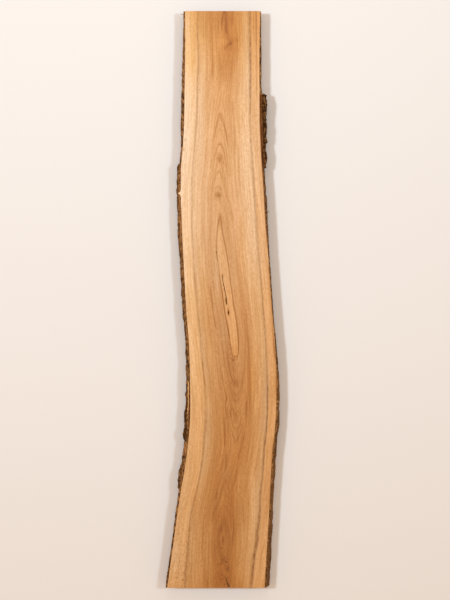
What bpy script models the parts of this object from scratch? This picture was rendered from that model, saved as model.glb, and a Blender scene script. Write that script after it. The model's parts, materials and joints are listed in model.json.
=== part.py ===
"""Live-edge walnut slab lying on its back: one sawn board, with the bark left along its two waney edges.

Sizes are in metres. X runs across the slab, Y along it and Z up through its face. Every shape below is
given by its height above the slab's foot and its distance from the slab's centre line. An empty then
carries the pieces so that the origin is under the middle of the slab, on the surface it lies on."""

import math
from bisect import bisect_right

import bmesh
import bpy
from mathutils import Vector, noise

LENGTH = 2.000
THICKNESS = 0.050
BARK_GAP = 0.0003
CENTRE_LINE_X = -0.0012024

# The wood's edge at the face: (height above the foot, distance from the centre line).
FACE_EDGE = {
    "left": [
        (0.000, 0.192), (0.130, 0.174), (0.270, 0.1545), (0.340, 0.144), (0.400, 0.133),
        (0.490, 0.1205), (0.580, 0.1128), (0.700, 0.1122), (0.830, 0.1155), (0.960, 0.1255),
        (1.100, 0.1335), (1.240, 0.1405), (1.380, 0.1448), (1.466, 0.143), (1.530, 0.1375),
        (1.600, 0.1335), (1.760, 0.131), (1.900, 0.1295), (2.000, 0.1303),
    ],
    "right": [
        (0.000, 0.146), (0.130, 0.1535), (0.270, 0.162), (0.400, 0.1695), (0.480, 0.1745),
        (0.560, 0.1828), (0.640, 0.1868), (0.740, 0.188), (0.830, 0.1835), (0.960, 0.1727),
        (1.120, 0.161), (1.290, 0.149), (1.450, 0.1388), (1.540, 0.1343), (1.640, 0.1306),
        (1.760, 0.1282), (1.900, 0.1287), (2.000, 0.1307),
    ],
}

# How much further out that edge is at the back, where the log was wider.
FLARE = {
    "left": [(0.000, -0.004), (0.300, -0.002), (0.500, 0.002), (0.900, 0.003), (1.500, 0.003), (2.000, 0.001)],
    "right": [(0.000, 0.013), (0.400, 0.009), (0.700, 0.004), (0.900, 0.000), (1.300, 0.002), (2.000, 0.001)],
}
EDGE_BULGE = 0.0012

# Bark depth: (height above the foot, depth), straight between the points. A jump is a plate's broken end.
BARK_DEPTH = {
    "left": [
        (0.000, 0.0048), (0.080, 0.0054), (0.150, 0.0038), (0.200, 0.0042), (0.250, 0.0056), (0.340, 0.0056),
        (0.346, 0.0130), (0.372, 0.0176), (0.405, 0.0168), (0.440, 0.0118), (0.470, 0.0106), (0.513, 0.0124),
        (0.516, 0.0196), (0.560, 0.0206), (0.620, 0.0164), (0.700, 0.0128), (0.800, 0.0100), (1.030, 0.0098),
        (1.120, 0.0092), (1.240, 0.0120), (1.340, 0.0122), (1.420, 0.0112), (1.459, 0.0112), (1.470, 0.0088),
        (1.4745, 0.0030), (1.535, 0.0044), (1.600, 0.0086), (1.700, 0.0088), (1.780, 0.0072), (1.900, 0.0050),
        (2.000, 0.0030),
    ],
    "right": [
        (0.000, 0.0050), (0.200, 0.0055), (0.280, 0.0042), (0.320, 0.0034), (0.380, 0.0052), (0.440, 0.0058),
        (0.560, 0.0082), (0.620, 0.0068), (0.660, 0.0078), (0.740, 0.0036), (0.900, 0.0022), (1.200, 0.0026),
        (1.290, 0.0048), (1.4555, 0.0046), (1.4595, 0.0112), (1.480, 0.0146), (1.5425, 0.0140), (1.5465, 0.0206),
        (1.590, 0.0218), (1.640, 0.0196), (1.7125, 0.0215), (1.7155, 0.0050), (1.760, 0.0040), (1.800, 0.0048),
        (1.900, 0.0042), (1.960, 0.0022), (2.000, 0.0016),
    ],
}
PLATE_DEPTH = 0.009
THINNEST_BARK = 0.0015
RIDGE_SHARE = 0.22
RIDGE_SETBACK = 0.35
RIDGES_PER_METRE = {"along": 21, "across": 62}
CRUMBLED_ARRIS = 0.0022
BARK_SETBACK = 0.0012

# A twig stub that crosses the left bark level with the face.
STUB_HEIGHT, STUB_HALF_LENGTH, STUB_REACH = 1.3682, 0.0135, 0.0098
STUB_STATIONS = [STUB_HEIGHT + STUB_HALF_LENGTH * share for share in (-1, -0.55, -0.2, 0, 0.3, 0.65, 1)]

# Openings in the face: (height above the foot, distance right of the centre line, half width).
SLITS = {
    "heart_shake": [
        (0.981, 0.0146, 0.0008), (0.985, 0.0142, 0.0021), (0.998, 0.0122, 0.0029), (1.006, 0.0128, 0.0016),
        (1.021, 0.0104, 0.0013), (1.043, 0.0059, 0.0013), (1.062, 0.0014, 0.0012), (1.079, -0.0003, 0.0013),
        (1.087, -0.0006, 0.0006),
    ],
    "heart_pit": [
        (0.9470, 0.0207, 0.0006), (0.9500, 0.0206, 0.0020), (0.9545, 0.0204, 0.0026), (0.9590, 0.0201, 0.0019),
        (0.9615, 0.0200, 0.0006),
    ],
    "foot_check": [
        (-0.004, 0.0230, 0.0023), (0.004, 0.0215, 0.0019), (0.016, 0.0165, 0.0015), (0.036, 0.0105, 0.0005),
    ],
}
SLIT_DEPTH = 0.014
SLIT_FLOOR_SHARE = 0.35
SLIT_OVERSHOOT = 0.004

STATION_SPACING = 0.0165
STATION_CLEARANCE = 0.0044
LEVELS = [0.0, 0.27, 0.52, 0.77, 1.0]

WOOD_COLOUR, WOOD_ROUGHNESS = (0.62, 0.36, 0.17), 0.55
BARK_COLOUR, BARK_ROUGHNESS = (0.085, 0.048, 0.024), 0.92
OUTWARD = {"left": -1, "right": 1}


def straight(points, height):
    """The value at a height, read straight between the listed points."""
    after = min(max(bisect_right([p[0] for p in points], height), 1), len(points) - 1)
    (h0, v0), (h1, v1) = points[after - 1], points[after]
    return v0 + (v1 - v0) * min(max((height - h0) / (h1 - h0), 0), 1)


def smooth(points, height):
    """The value at a height on a smooth curve through the listed points."""
    after = min(max(bisect_right([p[0] for p in points], height), 1), len(points) - 1)

    def slope(at):
        low, high = max(at - 1, 0), min(at + 1, len(points) - 1)
        return (points[high][1] - points[low][1]) / (points[high][0] - points[low][0])

    (h0, v0), (h1, v1) = points[after - 1], points[after]
    span = h1 - h0
    t = (height - h0) / span
    return (
        v0 * (1 + 2 * t) * (1 - t) ** 2
        + v1 * (3 - 2 * t) * t**2
        + span * (slope(after - 1) * t * (1 - t) ** 2 - slope(after) * t**2 * (1 - t))
    )


def stub_reach(height, level):
    """How far the twig stub stands out of the left edge: a pointed spur near the face."""
    off_centre = abs(height - STUB_HEIGHT) / STUB_HALF_LENGTH
    return STUB_REACH * max(0, 1 - off_centre) ** 2.1 * max(0, (level - 0.5) / 0.5)


def trunk_edge(side, height, level):
    """Distance from the centre line to the trunk under its bark. Level runs from 0 at the back to 1 at the
    face."""
    reach = smooth(FACE_EDGE[side], height)
    reach += smooth(FLARE[side], height) * (1 - level)
    return reach + EDGE_BULGE * math.sin(math.pi * level)


def wood_edge(side, height, level):
    """Distance from the centre line to the wood's edge, which the twig stub pushes out on the left."""
    stub = stub_reach(height, level) if side == "left" else 0
    return trunk_edge(side, height, level) + stub


def bark_depth(side, height, level):
    """Depth of the bark, with its lengthwise ridges and furrows."""
    depth = straight(BARK_DEPTH[side], height)
    along = height * RIDGES_PER_METRE["along"]
    across = level * THICKNESS * RIDGES_PER_METRE["across"] + 0.5 * math.sin(along * 0.45)
    ridge = noise.noise(Vector((along, across, 3.7 * OUTWARD[side])))
    ridge += 0.45 * noise.noise(Vector((along * 2.6, across * 2.1, 9.1 * OUTWARD[side])))
    ragged = RIDGE_SHARE * (1.5 if depth > PLATE_DEPTH else 1.0)
    return max(depth * (1 + ragged * (ridge - RIDGE_SETBACK)), THINNEST_BARK)


def stations(extra):
    """Heights at which a piece is cut across: an even row, and the places where its shape turns sharply."""
    count = round(LENGTH / STATION_SPACING)
    even = [LENGTH * i / count for i in range(count + 1)]
    kept = [h for h in even if all(abs(h - e) > STATION_CLEARANCE for e in extra)]
    return sorted(set(kept) | set(extra))


def shaped_box(name, heights, levels, place):
    """A box cut across at every height and lengthwise at every level, with each corner put where place
    says. Place takes the side of the box (0 or 1), the height and the level, and gives a point."""
    bm = bmesh.new()
    bmesh.ops.create_cube(bm, size=1)
    low, span = heights[0], heights[-1] - heights[0]
    for vertex in bm.verts:
        vertex.co = Vector((vertex.co.x + 0.5, low + (vertex.co.y + 0.5) * span, vertex.co.z + 0.5))
    cuts = [((0, h, 0), (0, 1, 0)) for h in heights[1:-1]]
    cuts += [((0, 0, level), (0, 0, 1)) for level in levels[1:-1]]
    for point, normal in cuts:
        everything = bm.verts[:] + bm.edges[:] + bm.faces[:]
        bmesh.ops.bisect_plane(bm, geom=everything, dist=1e-6, plane_co=point, plane_no=normal)
    for vertex in bm.verts:
        vertex.co = place(round(vertex.co.x), vertex.co.y, vertex.co.z)
    if bm.calc_volume(signed=True) < 0:
        bmesh.ops.reverse_faces(bm, faces=bm.faces)
    mesh = bpy.data.meshes.new(name)
    bm.to_mesh(mesh)
    bm.free()
    return bpy.data.objects.new(name, mesh)


def plain_material(name, colour, roughness):
    material = bpy.data.materials.new(name)
    material.use_nodes = True
    shader = material.node_tree.nodes["Principled BSDF"]
    shader.inputs["Base Color"].default_value = (*colour, 1)
    shader.inputs["Roughness"].default_value = roughness
    shader.inputs["Metallic"].default_value = 0
    material.diffuse_color = (*colour, 1)
    return material


def make_slab_wood(heights):
    """The sawn board: flat face and back, square ends, and two waney edges."""

    def place(side, height, level):
        if side:
            x = wood_edge("right", height, level)
        else:
            x = -wood_edge("left", height, level)
        return Vector((x, height, level * THICKNESS))

    return shaped_box("slab_wood", heights, LEVELS, place)


def make_bark(side, heights):
    """The bark along one edge, sawn off level with the face and back and crumbled a little at its arrises."""

    def place(outside, height, level):
        reach = wood_edge(side, height, level) + BARK_GAP
        z = level * THICKNESS
        if outside:
            crust = trunk_edge(side, height, level) + bark_depth(side, height, level)
            reach = max(reach + THINNEST_BARK, crust + BARK_GAP)
            crumbs = CRUMBLED_ARRIS * abs(noise.noise(Vector((height * 55, 40 * level, 0.5 * OUTWARD[side]))))
            z += crumbs if level == 0 else -crumbs if level == 1 else 0
        near_end = min(max(height, BARK_SETBACK), LENGTH - BARK_SETBACK)
        return Vector((OUTWARD[side] * reach, near_end, z))

    return shaped_box(f"{side}_bark", heights, LEVELS, place)


def make_slit_cutter(name, points):
    """A narrow wedge with its floor inside the wood and its mouth above the face."""
    middles = [(height, x) for height, x, _ in points]
    half_widths = [(height, half) for height, _, half in points]

    def place(side, height, level):
        half = straight(half_widths, height) * (SLIT_FLOOR_SHARE + (1 - SLIT_FLOOR_SHARE) * level)
        x = straight(middles, height) + (half if side else -half)
        z = THICKNESS - SLIT_DEPTH + (SLIT_DEPTH + SLIT_OVERSHOOT) * level
        return Vector((x, height, z))

    cutter = shaped_box(f"{name}_cutter", [p[0] for p in points], [0.0, 1.0], place)
    cutter.hide_render = True
    cutter.display_type = "WIRE"
    return cutter


def new_collection(name):
    collection = bpy.data.collections.new(name)
    bpy.context.scene.collection.children.link(collection)
    return collection


def main():
    for obj in list(bpy.data.objects):
        bpy.data.objects.remove(obj, do_unlink=True)
    pieces, cutters = new_collection("walnut_slab"), new_collection("cutters")

    centre = bpy.data.objects.new("slab_centre", None)
    centre.location = (CENTRE_LINE_X, -LENGTH / 2, 0)
    pieces.objects.link(centre)

    plate_ends = {side: [height for height, _ in BARK_DEPTH[side][1:-1]] for side in OUTWARD}
    left_heights = stations(plate_ends["left"] + STUB_STATIONS)
    right_heights = stations(plate_ends["right"])

    wood = make_slab_wood(left_heights)
    left, right = make_bark("left", left_heights), make_bark("right", right_heights)
    wood.data.materials.append(plain_material("walnut_wood", WOOD_COLOUR, WOOD_ROUGHNESS))
    bark_material = plain_material("walnut_bark", BARK_COLOUR, BARK_ROUGHNESS)
    for piece in (wood, left, right):
        pieces.objects.link(piece)
        piece.parent = centre
    for bark in (left, right):
        bark.data.materials.append(bark_material)

    for name, points in SLITS.items():
        cutter = make_slit_cutter(name, points)
        cutters.objects.link(cutter)
        cutter.parent = centre
        cut = wood.modifiers.new(name, "BOOLEAN")
        cut.operation = "DIFFERENCE"
        cut.object = cutter
    bpy.context.view_layer.update()


main()
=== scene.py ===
"""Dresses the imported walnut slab: its planed face with the growth rings, its bark, and a pale studio floor.

Places on the face are read off the photograph, 450 x 600, as (pixels across, pixels down), and turned into
metres here. The slab lies on its back, so down the photograph is towards the foot, and the face looks up."""

import json
import math

import bmesh
import bpy
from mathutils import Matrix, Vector
from mathutils.bvhtree import BVHTree

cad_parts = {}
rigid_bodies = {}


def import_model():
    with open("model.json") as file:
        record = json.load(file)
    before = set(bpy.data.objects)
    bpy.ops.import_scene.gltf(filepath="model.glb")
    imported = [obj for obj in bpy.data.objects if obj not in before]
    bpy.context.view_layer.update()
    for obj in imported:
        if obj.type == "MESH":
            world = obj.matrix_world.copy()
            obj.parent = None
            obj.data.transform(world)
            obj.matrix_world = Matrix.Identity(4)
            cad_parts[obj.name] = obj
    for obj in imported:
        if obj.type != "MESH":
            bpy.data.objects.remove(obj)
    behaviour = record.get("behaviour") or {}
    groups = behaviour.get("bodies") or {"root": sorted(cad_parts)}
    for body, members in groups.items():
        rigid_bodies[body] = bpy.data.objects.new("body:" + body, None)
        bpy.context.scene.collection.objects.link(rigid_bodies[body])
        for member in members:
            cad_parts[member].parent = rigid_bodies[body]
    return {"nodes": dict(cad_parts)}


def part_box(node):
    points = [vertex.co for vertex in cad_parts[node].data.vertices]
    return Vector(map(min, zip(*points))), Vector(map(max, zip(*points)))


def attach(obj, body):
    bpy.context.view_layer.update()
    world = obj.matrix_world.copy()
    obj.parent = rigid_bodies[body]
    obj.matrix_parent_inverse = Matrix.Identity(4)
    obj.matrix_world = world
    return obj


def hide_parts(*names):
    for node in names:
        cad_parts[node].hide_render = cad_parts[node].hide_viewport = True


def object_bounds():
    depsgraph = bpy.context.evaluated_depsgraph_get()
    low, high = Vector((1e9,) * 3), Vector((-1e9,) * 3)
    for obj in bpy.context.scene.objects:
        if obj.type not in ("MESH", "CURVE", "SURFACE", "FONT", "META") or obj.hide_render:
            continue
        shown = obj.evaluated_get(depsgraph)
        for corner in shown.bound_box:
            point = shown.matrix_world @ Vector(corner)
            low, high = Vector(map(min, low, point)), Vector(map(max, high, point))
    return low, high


bl_info = {
    "name": "Walnut slab",
    "version": (1, 0, 0),
    "blender": (4, 5, 0),
    "location": "3D View > Sidebar > Walnut slab",
    "description": "Builds a live-edge walnut slab with its bark on a pale studio floor",
    "category": "Object",
}

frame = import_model()
CAD_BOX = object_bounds()

LOW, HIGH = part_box("slab_wood")
LENGTH, THICKNESS = HIGH.y - LOW.y, HIGH.z - LOW.z

# The photograph's pixels, where the slab's centre line, foot and head stand in it, and a pixel's size there.
PHOTO_WIDE, PHOTO_HIGH = 450, 600
CENTRE_ACROSS, FOOT_DOWN, HEAD_DOWN = 222.5, 588.0, 11.0
PIXEL = LENGTH / (FOOT_DOWN - HEAD_DOWN)
# Where the centre line stands in the slab's own frame, and which way is outwards on each side.
CENTRE_LINE_X = -0.0012024
SIDES = {"left": -1, "right": 1}

# Curves down the photograph: pixels down, and pixels across where the line stands.
SAP_LINE = {
    "left": [
        (11, 197.2), (30, 197.2), (50, 198.2), (64, 198.3), (80, 197.4), (110, 196.8), (124, 196.2),
        (150, 194.2), (170, 192.8), (195, 191.6), (218, 191.6), (255, 193.4), (280, 194.8), (302, 197),
        (326, 199.3), (362, 202.4), (390, 204.7), (422, 205.3), (434, 204.5), (458, 202.5), (482, 198.6),
        (500, 194.2), (518, 190.4), (530, 189.3), (545, 187.8), (566, 186), (580, 184.7), (588, 184.5),
    ],
    "right": [
        (11, 249.8), (62, 250.2), (110, 250), (134, 250.7), (158, 252.2), (194, 254.3), (230, 256.5),
        (266, 259.4), (302, 262.7), (338, 265.6), (362, 266.5), (398, 267.4), (410, 267.3), (422, 266.8),
        (446, 264.7), (470, 262.8), (494, 260.4), (518, 259.2), (530, 257.9), (542, 257), (554, 254.6),
        (566, 253.2), (580, 251.9), (588, 251),
    ],
}
HEART_LINE = [
    (11, 224), (45, 226), (115, 220), (158, 219.5), (187, 218), (215, 220.3), (247, 221), (275, 224),
    (305, 228.6), (333, 232.9), (357, 234.7), (383, 236), (424, 236.5), (460, 232), (500, 224), (528, 224),
    (562, 226), (588, 228),
]
# The flame's dark outline: pixels down, pixels across, and how dark it is there.
FLAME_EDGE = {
    "left": [
        (216, 220, 0), (219, 218.9, 0.35), (230, 217.5, 0.45), (240, 216.9, 0.35), (250, 216.7, 0.4),
        (254, 216.9, 0.5), (262, 217.9, 0.25), (270, 218.9, 0.2), (277, 219.8, 0.35), (285, 220.9, 0.3),
        (293, 222.3, 0.35), (300, 223.2, 0.35), (308, 224.3, 0.45), (315, 225.4, 0.4), (322, 226.6, 0.5),
        (330, 228.2, 0.55), (338, 229.4, 0.45), (342, 230, 0.2), (346, 230.6, 0.4), (350, 231.3, 0.2),
        (356, 232.6, 0.12), (360, 234, 0),
    ],
    "right": [
        (216, 220.5, 0), (221, 221.3, 0.3), (232, 222.5, 0.4), (240, 224, 0.4), (250, 226.2, 0.4),
        (260, 227.7, 0.4), (268, 228.9, 0.35), (275, 229.7, 0.3), (282, 230.4, 0.3), (290, 231.6, 0.35),
        (297, 232.6, 0.35), (304, 233.4, 0.4), (315, 235.6, 0.35), (325, 236.9, 0.45), (338, 238.1, 0.5),
        (350, 238.5, 0.45), (355, 237.8, 0.3), (358, 237, 0.1), (360, 236.4, 0),
    ],
}

# Pixels down, and how deep the pith lies under the face, in millimetres. Each millimetre is one ring.
PITH_DEPTH = [
    (11, 76), (34, 75), (45, 74.4), (75, 75.4), (100, 75), (115, 74), (144, 72), (187, 69), (215, 67),
    (250, 65.6), (285, 64.9), (325, 65.4), (357, 67), (383, 69), (424, 72.5), (460, 74.5), (500, 72.5),
    (525, 70.4), (545, 69.6), (562, 70.6), (588, 73),
]

# The log is this much flatter than round where it was sawn, which widens the arches.
ARCH_WIDTH = 0.7

# Pixels down, and a share from pale wood (0) to deep wood (1).
TONE = [
    (11, 0.58), (25, 0.46), (60, 0.2), (110, 0.05), (150, 0), (200, 0.05), (260, 0.24), (300, 0.42),
    (350, 0.58), (400, 0.72), (450, 0.8), (500, 0.9), (545, 0.95), (588, 1),
]
# Pixels down, and how clearly single rings show.
RING_DEPTH = [
    (11, 0.3), (40, 0.35), (60, 0.12), (100, 0.4), (118, 0.5), (138, 0.5), (146, 0.8), (190, 0.8),
    (215, 0.5), (360, 0.4), (395, 0.6), (425, 0.6), (460, 0.3), (500, 0.25), (518, 0.6), (552, 0.6),
    (565, 0.4), (588, 0.25),
]

# Pixels down, and how much warmer, more orange, the outer and the inner heartwood are there.
WARMTH = [
    (11, 0.46), (22, 0.44), (60, 0.27), (100, 0.09), (150, 0), (200, 0.03), (250, 0.11), (300, 0.24),
    (350, 0.29), (400, 0.31), (450, 0.29), (500, 0.21), (550, 0.18), (588, 0.24),
]
INNER_WARMTH = [
    (11, 0.56), (22, 0.54), (60, 0.34), (100, 0.08), (150, -0.02), (200, -0.1), (250, -0.12), (300, 0.06),
    (345, 0.14), (400, 0.34), (450, 0.43), (500, 0.46), (550, 0.44), (588, 0.54),
]
# Pixels down, and how much darker the right sapwood is than the left.
RIGHT_SAP = [
    (11, 0.9), (80, 0.9), (130, 0.75), (180, 0.9), (225, 1), (260, 0.78), (290, 0.62), (340, 0.56),
    (375, 0.5), (425, 0.5), (475, 0.42), (500, 0.42), (588, 0.2),
]

# Pixels down, and how much greyer the heartwood is next to the sap line.
GREY_BAND = {
    "left": [
        (11, 0), (60, 0.05), (200, 0.06), (240, 0.14), (270, 0.14), (305, 0.04), (330, 0.16), (355, 0.22),
        (380, 0.2), (400, 0.13), (425, 0.34), (450, 0.25), (475, 0.16), (500, 0.02), (525, 0.12),
        (555, 0.12), (588, 0),
    ],
    "right": [
        (11, 0.1), (75, 0.12), (110, 0), (190, 0), (225, 0.11), (300, 0.05), (350, 0.15), (375, 0.27),
        (400, 0.33), (425, 0.31), (450, 0.14), (475, 0.16), (500, 0.22), (525, 0.1), (560, 0.04), (588, 0),
    ],
}
# Pixels down, how dark the sap line is, and then how grey.
SAP_LINE_DEPTH = {
    "left": [
        (11, 0.24), (48, 0.5), (84, 0.54), (105, 0.48), (125, 0.38), (160, 0.32), (185, 0.38), (205, 0.36),
        (230, 0.34), (270, 0.42), (300, 0.34), (325, 0.34), (355, 0.36), (380, 0.1), (405, 0.13),
        (430, 0.46), (455, 0.44), (480, 0.54), (512, 0.42), (552, 0.44), (588, 0.5),
    ],
    "right": [
        (11, 0.54), (30, 0.54), (55, 0.86), (84, 0.8), (110, 0.58), (130, 0.42), (160, 0.56), (195, 0.5),
        (230, 0.42), (255, 0.38), (280, 0.34), (305, 0.5), (340, 0.52), (380, 0.62), (408, 0.82),
        (430, 0.8), (455, 0.82), (480, 0.6), (505, 0.74), (530, 0.78), (552, 0.82), (588, 0.62),
    ],
}
SAP_LINE_GREY = [
    (11, 0.2), (60, 0.2), (110, 0.4), (200, 0.4), (300, 0.8), (340, 0.95), (400, 0.75), (480, 0.6),
    (516, 0.2), (588, 0),
]

# Pixels down, and how brown the left edge's arris is. The right one is brown all along.
BROWN_ARRIS = [
    (11, 1), (160, 1), (165, 0), (192, 0), (197, 1), (345, 0.8), (362, 0), (438, 0), (446, 1), (492, 1),
    (498, 0), (538, 0), (545, 1), (588, 1),
]

# Knots and soft cores: centre, radius across, radius down, how far they bend the rings (mm), how dark.
KNOTS = [
    ((229.5, 44), 4.5, 6, -1.8, 0.14),
    ((219.6, 158), 3.2, 5.5, -1, 0.2),
    ((218, 195), 2.8, 3.4, -1.4, 0.48),
    ((236, 383), 3.6, 4.2, -1.3, 0.26),
    ((227.9, 404.5), 1.6, 3, -1.6, -0.1),
    ((223.8, 527), 2.4, 3.6, -0.8, 0.06),
    ((222.5, 541), 2.8, 7, -0.7, 0.12),
    ((222.8, 561), 3, 2.4, -0.6, 0.16),
    ((227.4, 568), 3, 4.6, -0.9, 0.14),
]

# Soft patches: centre, radius across, radius down, how dark (or, below 0, how pale).
PATCHES = [
    ((207, 335), 9, 75, 0.12),
    ((204, 18), 6, 22, 0.12),
    ((252, 520), 6, 60, -0.18),
    ((256, 400), 5, 60, -0.07),
    ((252, 245), 6, 60, -0.05),
    ((226, 24), 4.5, 16, 0.2),
    ((230, 58), 8, 16, 0.12),
    ((223.5, 41.5), 3.5, 3.5, -0.14),
    ((235.5, 40), 3, 2.5, 0.12),
    ((230.6, 43.4), 1.7, 1.4, 0.24),
    ((221, 583), 13, 8, 0.16),
    ((222, 530), 8, 30, 0.03),
    ((197, 275), 6, 55, 0.08),
    ((238, 85), 7, 35, 0.07),
    ((238, 25), 6, 25, 0.08),
    ((255, 165), 5, 75, 0.06),
    ((187, 205), 5, 50, 0.05),
    ((220.2, 220), 1.8, 7, 0.28),
    ((219, 159), 2, 3.6, 0.1),
    ((221, 529), 1.4, 2.6, 0.22),
    ((214.5, 508), 3, 14, 0.1),
    ((213.5, 432), 3.5, 45, 0.09),
    ((257, 458), 3, 30, 0.07),
    ((245, 424), 4, 20, -0.13),
    ((198, 362), 5, 26, -0.08),
    ((217, 278), 3.5, 24, -0.07),
    ((213, 208), 4, 26, -0.05),
    ((235, 353), 3, 7, 0.1),
    ((246.5, 508), 4, 26, 0.09),
    ((240, 574), 6, 13, -0.14),
    ((234, 552), 4, 10, -0.1),
    ((247.8, 34), 2, 36, 0.1),
    ((201, 26), 4, 24, 0.06),
    ((191, 60), 5, 22, 0.03),
    ((222, 425), 5, 60, -0.03),
    ((207, 262), 5, 55, 0.05),
    ((241, 252), 4.5, 42, 0.06),
    ((245.5, 310), 4.5, 30, 0.06),
    ((257.5, 368), 4, 26, 0.07),
    ((219, 66), 5.5, 14, 0.08),
    ((216.5, 30), 4.5, 19, 0.12),
    ((237.5, 34), 3.5, 16, 0.06),
    ((256.5, 30), 3.5, 28, 0.09),
    ((193.5, 34), 3.5, 30, 0.06),
    ((235.5, 452), 5, 36, -0.05),
    ((217, 290), 3.5, 45, -0.03),
    ((243, 406), 3.5, 16, -0.04),
    ((225, 74), 9, 13, 0.06),
    ((234.5, 372), 4, 9, 0.07),
    ((200, 395), 3, 24, -0.07),
    ((270.5, 395), 3, 18, 0.06),
    ((256.5, 285), 5, 30, 0.05),
    ((213, 330), 3.5, 20, 0.07),
    ((221.5, 326), 2.5, 15, -0.07),
    ((241.5, 350), 3, 12, 0.06),
    ((216, 150), 12, 28, -0.03),
    ((222, 18), 7, 9, 0.06),
    ((240, 522), 3.5, 18, 0.07),
    ((226, 540), 10, 14, -0.03),
    ((238.5, 337), 3, 16, 0.04),
    ((194, 60), 3, 10, 0.05),
    ((194, 125), 3, 12, 0.06),
    ((250.5, 122), 3, 16, 0.05),
    ((231.5, 355.5), 0.7, 3, -0.12),
    ((236.8, 359.4), 1.2, 1.2, 0.14),
    ((220, 574), 8, 6, 0.06),
    ((224, 525), 2.5, 9, 0.08),
    ((234.5, 530), 3, 18, -0.06),
    ((193, 546), 4, 18, -0.05),
]

# Patches where the wood is warmer, or (below 0) greyer: centre, radius across, radius down, how much.
WARM_PATCHES = [
    ((241, 252), 4.5, 42, 0.2),
    ((246.5, 330), 4.5, 30, 0.14),
    ((251, 375), 5, 25, 0.19),
    ((240, 122), 5, 25, 0.13),
    ((238, 38), 4.5, 17, 0.09),
    ((216.5, 28), 4, 18, -0.1),
    ((208.5, 55), 3, 42, -0.11),
    ((202.5, 120), 4, 45, -0.07),
    ((186, 150), 3.5, 40, -0.12),
    ((230, 150), 5, 25, -0.07),
    ((244.5, 38), 2.5, 24, -0.12),
    ((256.5, 28), 3.5, 26, -0.1),
    ((262, 262), 2.5, 24, -0.1),
    ((178, 562), 5, 24, -0.12),
    ((209, 305), 4, 40, 0.09),
    ((217, 275), 3.5, 30, -0.18),
    ((223.5, 330), 3, 20, -0.22),
    ((213, 208), 4, 30, -0.08),
    ((235, 353), 3, 8, 0.1),
    ((190.5, 62), 5, 12, 0.14),
    ((187, 24), 4, 18, -0.12),
    ((226, 538), 12, 18, -0.09),
    ((227, 474), 4, 12, -0.14),
    ((195, 500), 3, 34, 0.11),
    ((238, 425), 6, 18, -0.07),
    ((243, 305), 4, 46, 0.06),
    ((250, 120), 3, 20, 0.08),
    ((268.8, 380), 2, 26, -0.14),
    ((187, 24), 3, 12, -0.08),
    ((176, 553), 3.5, 20, -0.07),
]

# Short dark marks, the ones down the heart shake and the pit partly painted shade: from, to, width in pixels,
# how dark.
MARKS_AND_CRACK_SHADE = [
    ((230.6, 43.2), (224.2, 49), 1.1, 0.24),
    ((189.4, 18.3), (189.5, 18.8), 0.55, 0.7),
    ((196.5, 18.8), (196.4, 19.6), 0.5, 0.45),
    ((199.5, 89.2), (199, 90.4), 0.5, 0.5),
    ((206.4, 78.8), (206.3, 79.4), 0.4, 0.4),
    ((206.4, 84.8), (206.3, 85.6), 0.4, 0.45),
    ((185.3, 138.4), (184.8, 141.2), 0.5, 0.45),
    ((184, 147), (183.5, 151.5), 0.5, 0.4),
    ((252.2, 116.8), (258.9, 114.8), 0.5, 0.22),
    ((214.8, 189.5), (216.5, 186.6), 0.4, 0.36),
    ((216.5, 186.6), (219, 186.3), 0.4, 0.4),
    ((219, 186.3), (222.4, 191), 0.4, 0.36),
    ((213.4, 160), (217, 146.8), 0.4, 0.2),
    ((217.6, 144.6), (222, 144.4), 0.4, 0.26),
    ((222.4, 145.6), (225.6, 156), 0.4, 0.2),
    ((223, 161), (224.8, 166.4), 0.5, 0.24),
    ((216.6, 251.4), (216.7, 253.4), 0.7, 0.55),
    # Painted shade down the heart shake and in the pit, with a dark stain along their edges.
    ((222.3, 274), (222.6, 278), 0.7, 0.4),
    ((223.3, 283.8), (223.5, 286.2), 0.7, 0.4),
    ((224.2, 288), (224.5, 290.5), 0.7, 0.4),
    ((225.8, 297.5), (226.6, 303.5), 1, 0.4),
    ((228.3, 309), (228.6, 316), 1.1, 0.45),
    ((230.4, 352.5), (230.7, 357.2), 0.55, 0.32),
    ((230.7, 357.2), (233, 360.4), 0.55, 0.34),
    ((232.8, 360.2), (234.6, 360), 1.1, 0.42),
    ((234.2, 355.9), (234.9, 356.7), 0.75, 0.7),
    ((236.2, 356.5), (237, 355.6), 0.75, 0.66),
    ((234.6, 362), (237, 366.5), 0.5, 0.14),
    ((233.2, 408), (236, 416), 0.8, 0.2),
    ((236, 416), (239.4, 407.5), 0.8, 0.2),
    ((234, 419), (238, 421.5), 1, 0.12),
    ((221.5, 526), (219.3, 535), 0.7, 0.22),
    ((225.8, 530), (226, 540), 0.7, 0.14),
    ((222.8, 536), (223.6, 543), 0.9, 0.22),
    ((218.9, 540), (219.6, 546), 0.6, 0.24),
    ((220.6, 547.4), (223.8, 548.6), 0.7, 0.2),
    ((222.1, 559.2), (222.8, 560), 0.9, 0.46),
    ((227.2, 559), (227.6, 559.8), 0.5, 0.2),
    ((220.3, 562.8), (220.4, 565.4), 0.7, 0.38),
    ((217.6, 563.4), (217.5, 565.6), 0.6, 0.22),
    ((222.4, 563.4), (222.4, 565.2), 0.5, 0.16),
    ((222, 574.6), (222.5, 575.6), 0.9, 0.42),
    ((223.4, 578), (222.5, 579.6), 0.7, 0.38),
    ((224.5, 581), (224.5, 581.8), 0.5, 0.2),
    ((224.6, 584), (224.8, 585), 0.7, 0.34),
    ((224.6, 574.4), (225.6, 577.6), 0.7, 0.14),
]

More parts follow.
